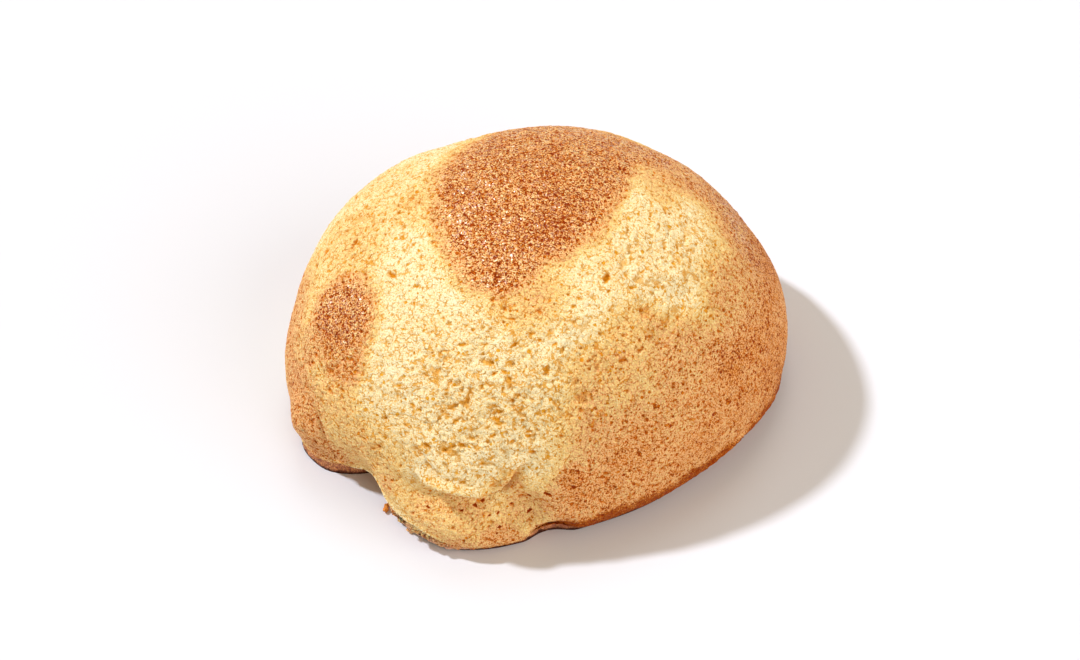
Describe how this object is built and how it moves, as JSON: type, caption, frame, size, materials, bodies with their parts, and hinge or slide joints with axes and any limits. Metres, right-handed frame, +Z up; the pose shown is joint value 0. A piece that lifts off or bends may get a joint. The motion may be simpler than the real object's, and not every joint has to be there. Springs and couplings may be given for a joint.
{
  "type": "cornbread bun",
  "caption": "Whole domed cornbread bun with a browned, crumbly crust, a folded hem at its front and a flat baked base.",
  "frame": {"origin": "middle of the bun's box in plan, on the plane of its flat base", "axes": "+Z up, -Y towards the fold at the front, +X to the right seen from the front"},
  "size_m": [0.112, 0.1016, 0.0571],
  "materials": {
    "baked_crust": "dry baked crust, pale yellow crumb browned in patches, slightly glossy where browned"
  },
  "bodies": {
    "root": {"cornbread": "baked_crust"}
  },
  "joints": []
}
